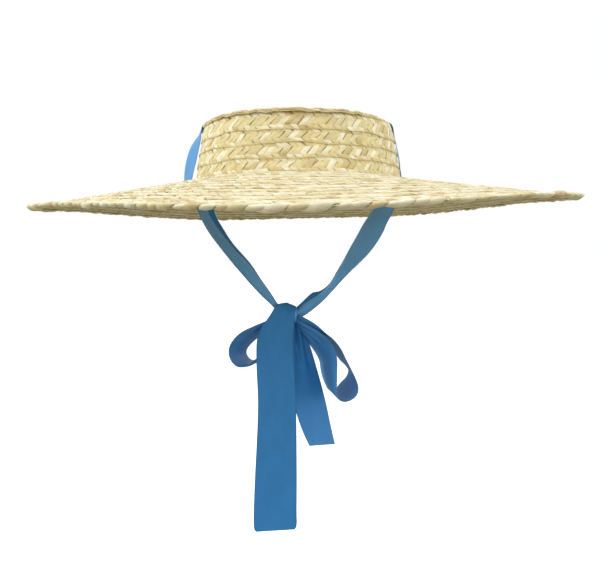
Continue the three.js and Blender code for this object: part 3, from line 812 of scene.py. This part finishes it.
def ribbon_sheet(name, lines, spots, offset, look, pleats, shown, turned):
    """A thin closed sheet through lines that run along the ribbon, with creases rounded off. It
    stands offset millimetres off along its own face. The back is one wall behind, and shows the
    other side of the satin where the ribbon is turned."""
    sheet = between_lines(lines, spots, ACROSS - CREASE) + 2 * between_lines(lines, spots, ACROSS)
    sheet = (sheet + between_lines(lines, spots, ACROSS + CREASE)) / 4
    sheet[:, 0], sheet[:, -1] = lines[0], lines[-1]
    n, m = sheet.shape[:2]
    share = np.broadcast_to(ACROSS / HALF, (n, m))
    place = np.broadcast_to(np.linspace(0, 1, n)[:, None], (n, m))
    wave = np.sin(TURN * pleats * (share + 1) / 2 + 0.9 * np.sin(math.pi * share))
    fold = pleat_height(sheet, pleats)[:, None] * wave
    sheet = sheet + (offset(place, share) + fold)[..., None] * sheet_normal(sheet)
    normal = sheet_normal(sheet)
    front, rear = sheet + normal * WALL / 2, sheet - normal * WALL / 2
    points = np.concatenate([front.reshape(-1, 3), rear.reshape(-1, 3)])
    reach = running_length(sheet[:, m // 2])
    mark = np.zeros((2, n, m, 4))
    mark[..., 0] = ACROSS
    mark[..., 1] = reach[:, None]
    mark[0, ..., 3] = shown(place, share)
    mark[1, ..., 3] = 1 - mark[0, ..., 3] if turned else mark[0, ..., 3]
    made = make_piece(name, points, sheet_faces(n, m), mark.reshape(-1, 4), look)
    print(name, "is", round(float(reach[-1]), 1), "mm long")
    return made, float(reach[-1])


# %% [markdown]
# ## Satin
# Satin has long threads that lie flat and shine, so the light runs in soft bands, and a fine cross rib
# shows from near. The two edges are woven a little tighter. The reverse is paler, and its colour is raised
# further as painted sheen.
# Threads could be modelled one by one, but at this size a fine bump on the marks reads the same.

# %% Satin material
RIB_STEP = 0.45


def satin_look(name, colour, reverse_and_sheen):
    """Blue satin in the ribbon's own across and along millimetres, paler on its reverse, whose colour also
    carries painted sheen.
    """
    made, tree, out = new_material(name)
    given = add_node(tree, "ShaderNodeAttribute", {"attribute_name": "marks"})
    marks = given.outputs["Vector"]
    split = add_node(tree, "ShaderNodeSeparateXYZ", Vector=marks)
    turns = times(tree, split.outputs["Y"], TURN / RIB_STEP)
    rib = add_node(tree, "ShaderNodeMath", {"operation": "SINE"}, i0=turns).outputs[0]
    uneven = use_group(tree, grain, Marks=marks, Scales=(0.25, 1.6, 1.0), Detail=3.0,
                       Roughness=0.5)["Height"]
    slow = use_group(tree, grain, Marks=marks, Scales=(0.06, 0.03, 1.0), Detail=2.0,
                     Roughness=0.5)["Height"]
    edge = use_group(tree, edges, Marks=marks, Start=18.4, End=19.6, Depth=0.82)["Shade"]
    tone = remap(tree, uneven, (0.2, 0.8), (0.93, 1.07))
    drift = remap(tree, slow, (0.3, 0.7), (0.94, 1.06))
    shade = times(tree, edge, tone, drift)
    side = mix_colours(tree, given.outputs["Alpha"], (*reverse_and_sheen, 1), (*colour, 1))
    height = add_node(tree, "ShaderNodeMath", {"operation": "ADD"}, i0=rib, i1=uneven)
    bump = add_node(tree, "ShaderNodeBump", Strength=0.25, Distance=0.00012, Height=height.outputs[0])
    satin = add_node(tree, "ShaderNodeBsdfPrincipled", Base_Color=shaded(tree, side, shade),
                     Roughness=remap(tree, uneven, to=(0.38, 0.52)), Normal=bump.outputs[0])
    satin.inputs["Specular IOR Level"].default_value = 0.2
    satin.inputs["Sheen Weight"].default_value = 0.3
    satin.inputs["Sheen Roughness"].default_value = 0.32
    satin.inputs["Sheen Tint"].default_value = (0.25, 0.8, 1, 1)
    tree.links.new(satin.outputs[0], out.inputs[0])
    return made


# The reverse colour is set paler than the satin's own reverse: painted sheen, worn wherever the reverse
# shows
satin = satin_look("blue satin", (0.042, 0.242, 0.595), (0.185, 0.490, 0.925))
print(satin.name, "has", len(satin.node_tree.nodes), "nodes")

# %% [markdown]
# ## The long strip over the crown
# It lies flat on the tip, stands off the crown on the left and at its far edge on the right, and
# goes down through the slots. Below the brim its edges turn back, and it narrows into the knot.
# A path with a width and a lean could carry it, but its two edges take different ways, so a
# table gives both, and the crease beside the edge that turns back.

# %% Tables of the chin ribbon
# The left strap from the brim to the knot: near edge, crease and far edge, which is turned back
LEFT_STRAP = np.array([
    [(-92.4, -20, -9.5), (-98.0, 12, -9.5), (-101.0, 20, -9.5)],
    [(-91.2, -20, -15), (-87.5, 14, -14), (-88.5, 20, -14)],
    [(-88.8, -20, -22.1), (-85.8, 13, -20.3), (-81.1, 20, -19.8)],
    [(-85.6, -19.5, -31.5), (-81.6, 12.5, -30), (-77.4, 20, -29.4)],
    [(-79.2, -18, -44.4), (-73.7, 10.5, -41.7), (-70.8, 18, -40.7)],
    [(-64.4, -14, -65.3), (-61.8, 9, -56.7), (-61.4, 15, -55)],
    [(-47.7, -9, -86.3), (-45.6, 7, -73.9), (-45.7, 12, -73.1)],
    [(-34.8, -5.5, -100.9), (-34.5, 5, -89.3), (-34.8, 10, -89.1)],
    [(-26.9, -4, -108.6), (-27.3, 3.8, -99.1), (-27.3, 4.5, -98.7)],
    [(-21.6, -3, -114.3), (-19.2, 2.6, -110.5), (-19.1, 3, -110.4)],
    [(-16.5, -2, -118), (-14.6, 1.8, -114.2), (-14.5, 2, -114)]])
# The same for the right strap, whose far edge folds over near the knot
RIGHT_STRAP = np.array([
    [(87.5, -20, -5.0), (88.8, 12, -5.0), (89.5, 20, -5.0)],
    [(86.4, -20, -10), (82.5, 15, -8.5), (83.4, 20, -8.5)],
    [(83.4, -20, -17.6), (73.7, 18, -14.6), (74.7, 20, -14.5)],
    [(80.1, -19.5, -27.8), (65.4, 18.5, -26.5), (67.1, 21, -27.3)],
    [(75.1, -18.5, -37.2), (58.0, 17, -37.4), (60.2, 21, -39.2)],
    [(71.0, -17.5, -46.6), (52.9, 15.5, -46.6), (55.5, 20, -48.4)],
    [(61.5, -15.5, -61.3), (43.9, 13, -62.1), (46.6, 18, -64.1)],
    [(51.6, -13.5, -72.3), (38.3, 11, -72.0), (40.5, 16, -74.1)],
    [(41.3, -11, -83.1), (31.8, 9, -81.9), (32.1, 14, -84.1)],
    [(31.8, -9, -94.1), (26.2, 9.4, -92), (26.4, 13.5, -92.2)],
    [(21.2, -6.5, -105.8), (16.8, 7.8, -101), (18.2, 12.5, -98.3)],
    [(11.5, -4.5, -114.1), (8.8, 5.6, -106.2), (11.2, 11.5, -100)],
    [(1.6, -2.5, -120.6), (0.9, 3, -111.5), (2.4, 8, -107.6)],
    [(-5, -1, -121.5), (-6, 1, -118), (-7, 3, -116)]])
# From the right slot up, over the tip, and down into the left slot: x and z of both edges. The
# far edge stands out further from the crown than the near one on both sides.
right_z = float(brim_height(SLOT_RIGHT[0] - FOOT_X, 0.0))
left_z = float(brim_height(SLOT_LEFT[0] - FOOT_X, math.pi))
OVER_CROWN = (
    (86.8, right_z - 1.0, 91.8, right_z - 1.0), (86.8, right_z + 1.6, 91.8, right_z + 1.6),
    (85.8, 9.0, 91.8, 8.0), (84.1, 19.3, 91.6, 17.0), (82.3, 29.0, 89.5, 29.0), (80.5, 38.0, 86.0, 39.5),
    (79.3, 43.5, 82.6, 45.4), (77.2, 46.7, 79.0, 47.3), (72.5, 47.3, 73.0, 47.3), (24.0, 47.3, 24.0, 47.3),
    (-29.0, 47.3, -29.0, 47.3), (-76.0, 47.3, -77.0, 47.4), (-81.0, 46.7, -84.0, 47.3),
    (-82.8, 43.4, -90.2, 45.2), (-83.3, 36.0, -97.0, 37.5), (-84.8, 29.0, -101.0, 29.5),
    (-88.0, 16.0, -104.6, 15.5), (-90.6, 7.0, -105.6, 7.0),
    (-92.4, left_z + 1.6, -105.8, left_z + 1.6), (-92.4, left_z - 1.0, -105.8, left_z - 1.0))


def across_row(near, far):
    """One row across the ribbon, from its near and far edges: near edge, crease, far edge."""
    near, far = np.array(near, float), np.array(far, float)
    return [near, near + 0.8 * (far - near), far]


over_rows = [across_row((nx, -HALF, nz), (fx, HALF, fz)) for nx, nz, fx, fz in OVER_CROWN]
chin_rows = np.concatenate([RIGHT_STRAP[::-1], over_rows, LEFT_STRAP])
print("rows of the chin ribbon:", len(chin_rows))


# %% One stretch of ribbon
def all_face(place, share):
    """The face is seen everywhere."""
    return np.ones(place.shape)


def strip(name, node, rows, spots, offset, steps, pleats=0, shown=all_face, turned=False):
    """Makes, dresses and declares one stretch of ribbon from rows of points across it."""
    places = np.linspace(0, len(rows) - 1, steps)
    lines = [smooth_line(rows[:, k], places) for k in range(rows.shape[1])]
    made, length = ribbon_sheet(name, lines, spots, offset, satin, pleats, shown, turned)
    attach(made, "root")
    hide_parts(node)


# %% Chin ribbon
def chin_folds(place, share):
    """Soft lengthwise creases that deepen towards both ends, at the knot."""
    end = soft_step((0.28 - np.minimum(place, 1 - place)) / 0.28)
    return end * 0.8 * np.sin(5.2 * share + 1.0) + 0.25 * np.sin(40 * place + 2 * share)


def chin_sides(place, share):
    """The inner side is the reverse, except beyond the creases of the two straps, where the darker face
    colour is painted shade on the turned-back flaps.
    """
    left = soft_step((place - 0.775) / 0.02) * soft_step((0.945 - place) / 0.03)
    right = soft_step((0.1 - place) / 0.015)
    return (left + right) * soft_step((share - 0.58) / 0.05)


strip("ribbon_chin", "chin_ribbon", chin_rows, (-20, 12, 20), chin_folds, 340,
      shown=chin_sides, turned=True)

# %% [markdown]
# ## The bow
# Two loops fold back on themselves and two tails hang free, the long one over the knot in front.
# Loops and short tail are gathered at the knot, so they get pleats. One sheet mirrored or copied
# would look stiff. Each gets a table of its own, because each hangs in another way.

# %% Loops
# Rows of near edge and far edge, from the knot round and back
LEFT_LOOP = np.array([
    [(-17.0, -1, -119.0), (-16.0, 2, -121.0)], [(-25.1, -6, -121.0), (-22.1, 6, -128.1)],
    [(-31.3, -8, -123.8), (-27.9, 11, -133.5)], [(-40.7, -12.5, -127.2), (-35.6, 15.5, -139.7)],
    [(-50.9, -17, -131.7), (-43.3, 18.5, -145.9)], [(-57.7, -19, -137.5), (-47.7, 19.5, -150.4)],
    [(-61.8, -19, -144.6), (-50.0, 19.5, -154.1)], [(-62.3, -19, -151.6), (-50.5, 19.5, -157.4)],
    [(-59.8, -19, -157.9), (-49.1, 19.5, -160.7)], [(-55.4, -19, -161.9), (-46.7, 19, -163.0)],
    [(-49.3, -18.5, -162.6), (-43.5, 19, -164.2)], [(-42.8, -13, -161.9), (-39.7, 18, -161.9)],
    [(-34.1, -9, -157.3), (-32.0, 16, -155.9)], [(-25.3, -6.5, -147.9), (-23.5, 12, -147.6)],
    [(-17.2, -4, -135.7), (-15.8, 7, -137.5)], [(-12.0, -1, -124.0), (-11.0, 2, -124.0)]])
RIGHT_LOOP = np.array([
    [(-6.0, -1, -119.0), (-5.0, 2, -121.0)], [(-0.2, -6, -121.1), (1.6, 6, -127.3)],
    [(11.3, -10, -126.2), (9.8, 11, -134.6)], [(21.8, -14, -133.0), (18.3, 15, -142.7)],
    [(29.6, -17, -139.0), (25.8, 17.5, -149.8)], [(35.7, -18, -146.9), (31.5, 19, -156.7)],
    [(40.0, -19, -155.6), (37.1, 20, -164.5)], [(44.4, -19, -164.4), (42.3, 20, -169.7)],
    [(48.8, -19, -173.8), (44.9, 20, -174.0)], [(50.9, -19, -181.4), (44.0, 20, -178.3)],
    [(49.6, -19, -187.6), (41.9, 20, -181.7)], [(44.7, -19, -192.1), (38.1, 20, -185.5)],
    [(38.3, -19, -193.7), (34.3, 20, -190.2)], [(33.8, -19, -191.6), (30.6, 20, -194.5)],
    [(32.2, -18.5, -184.2), (26.3, 19.5, -192.5)], [(32.2, -18, -170.0), (22.0, 19, -184.2)],
    [(32.3, -16.5, -156.1), (19.2, 18, -174.4)], [(29.7, -14.5, -145.8), (17.7, 16.5, -164.6)],
    [(22.8, -12, -137.2), (14.4, 14, -157.1)], [(13.1, -9, -130.5), (8.4, 11, -147.5)],
    [(2.5, -5, -124.8), (0.7, 6, -134.6)], [(-5.0, -1, -121.0), (-6.0, 2, -124.0)]])


def loop_folds(place, share):
    """A slight hollow across the loop, and pleats that fade out away from the knot."""
    end = soft_step((0.2 - np.minimum(place, 1 - place)) / 0.2)
    return 0.7 * (1 - share**2) * (1 - end) + end * 0.3 * np.sin(7.5 * share + 0.5)


def loop_painted_light(place, share):
    """The loops show the face colour mixed with a fifth of the paler reverse: painted light that brightens
    their shaded walls.
    """
    return np.full(place.shape, 0.8)


for name, node, rows, steps in (("ribbon_loop_left", "bow_loop_left", LEFT_LOOP, 120),
                                ("ribbon_loop_right", "bow_loop_right", RIGHT_LOOP, 160)):
    strip(name, node, rows, (-20, 20), loop_folds, steps,
          pleats=3, shown=loop_painted_light)

# %% Tails
# Rows of left edge and right edge, from the knot down
LONG_TAIL = np.array([
    [(-15.5, 5, -114.5), (-6, 5, -115)],
    [(-17.3, 2, -111.2), (-4.2, 2, -112.6)], [(-19.9, -1.5, -109.0), (-3.7, -2, -110.8)],
    [(-22.4, -5, -111.2), (-3.7, -5.5, -112.1)], [(-25.0, -7.5, -115.4), (-4.4, -8.5, -115.3)],
    [(-28.5, -9.5, -120.5), (-5.1, -10.5, -121.3)], [(-34.7, -11, -129.2), (-5.8, -11.8, -129.1)],
    [(-38.2, -11.8, -139.7), (-6.2, -12.8, -139.7)], [(-38.9, -12.2, -160.3), (-5.6, -13.4, -157.4)],
    [(-37.8, -13.0, -193.6), (-4.1, -12.3, -189.0)], [(-38.5, -13.7, -219.1), (-3.7, -11.2, -219.0)],
    [(-41.1, -14.5, -265.9), (-3.6, -10.1, -265.9)], [(-42.5, -14.7, -299.3), (-3.9, -9.9, -299.4)],
    [(-42.4, -14.6, -308.5), (-3.8, -9.9, -307.5)], [(-41.9, -14.6, -311.8), (-4.4, -10.0, -311.6)],
    [(-40.2, -14.4, -313.9), (-5.9, -10.2, -313.8)]])
# Its middle line, which rides higher where the tail turns over the knot
LONG_TAIL = np.insert(LONG_TAIL, 1, LONG_TAIL.mean(1), 1)
LONG_TAIL[1:5, 1] += [(0, 0, 0.8), (0, -0.4, 1.9), (0, -0.8, 1.6), (0, -0.8, 0.6)]
SHORT_TAIL = np.array([
    [(-7.0, 0, -120.0), (-4.0, 2, -119.1)], [(-9.0, -3, -126.9), (-0.2, 4, -126.1)],
    [(-10.5, -5, -136.5), (4.3, 7, -137.6)], [(-11.0, -7, -149.7), (8.9, 9, -149.1)],
    [(-10.5, -8, -167.7), (13.9, 11, -166.3)], [(-7.5, -9, -190.0), (20.4, 13, -190.4)],
    [(-3.2, -9.5, -208.2), (24.3, 15, -207.0)], [(2.6, -10, -224.5), (28.1, 16.5, -225.7)],
    [(8.0, -10, -236.5), (32.2, 18, -244.5)]])


def hill(x, centre, width):
    """A soft bump of height 1."""
    return np.exp(-(((x - centre) / width) ** 2))


def long_folds(place, share):
    """One soft fold down the right side that fades out, and a very slight swing below."""
    fade = soft_step((0.34 - place) / 0.3)
    return (-0.9 * fade * hill(share, 0.62, 0.28) + 0.5 * fade * hill(share, -0.25, 0.5)
            + 0.5 * (1 - fade) * np.sin(9 * place) * (0.6 + 0.4 * share))


def short_folds(place, share):
    """Creases that fan out from the knot and flatten towards the cut end."""
    fade = soft_step((0.75 - place) / 0.7)
    drift = 0.5 * place
    return fade * (1.3 * hill(share, -0.15 + drift, 0.3) - 1.2 * hill(share, 0.3 + drift, 0.26)
                   + 0.9 * hill(share, 0.75 + 0.2 * drift, 0.2))


strip("ribbon_tail_long", "tail_long", LONG_TAIL, (-20, 0, 20), long_folds, 200)
strip("ribbon_tail_short", "tail_short", SHORT_TAIL, (-20, 20), short_folds, 120,
      pleats=2)

# %% [markdown]
# ## The knot
# The knot is the ribbon wound tight over itself, and little of it shows behind the long tail. A
# true knot of sheets would cost much and hide itself, so it is one closed lump with folds.

# %% Knot
KNOT = np.array([-10.6, 0.0, -118.5])
KNOT_HALF = np.array([9.5, 9.0, 9.7])
KNOT_SIDES, KNOT_LEVELS = 64, 40


def knot_grid():
    """An oval ball whose radius dips along folds that wind across it."""
    tilt = np.linspace(0.02, math.pi - 0.02, KNOT_LEVELS)[:, None]
    turn = np.linspace(0, TURN, KNOT_SIDES, endpoint=False)[None, :]
    sweep = np.sin(tilt) * np.cos(turn)
    fold = 1 - 0.07 * np.abs(np.sin(5.5 * sweep + 0.8 * np.sin(turn))) ** 0.7
    x = KNOT[0] + KNOT_HALF[0] * np.sin(tilt) * np.cos(turn) * fold
    y = KNOT[1] + KNOT_HALF[1] * np.sin(tilt) * np.sin(turn) * fold
    z = KNOT[2] + KNOT_HALF[2] * np.cos(tilt) * (0.97 + 0.03 * fold) + 0 * turn
    return np.stack([x, y, z], -1).reshape(-1, 3)


points = knot_grid()
# Alpha stays 0, so the knot takes the paler reverse colour with its painted sheen
mark = np.zeros((len(points), 4))
mark[:, 0] = points[:, 0] - KNOT[0]
mark[:, 1] = np.repeat(np.linspace(0, 30, KNOT_LEVELS), KNOT_SIDES)
top_ring = list(range(KNOT_SIDES))
foot_ring = [(KNOT_LEVELS - 1) * KNOT_SIDES + k for k in top_ring][::-1]
quads = grid_faces(KNOT_LEVELS, KNOT_SIDES, False, True)
knot = make_piece("ribbon_knot", points, quads, mark, satin, [top_ring, foot_ring])
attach(knot, "root")
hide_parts("bow_knot")
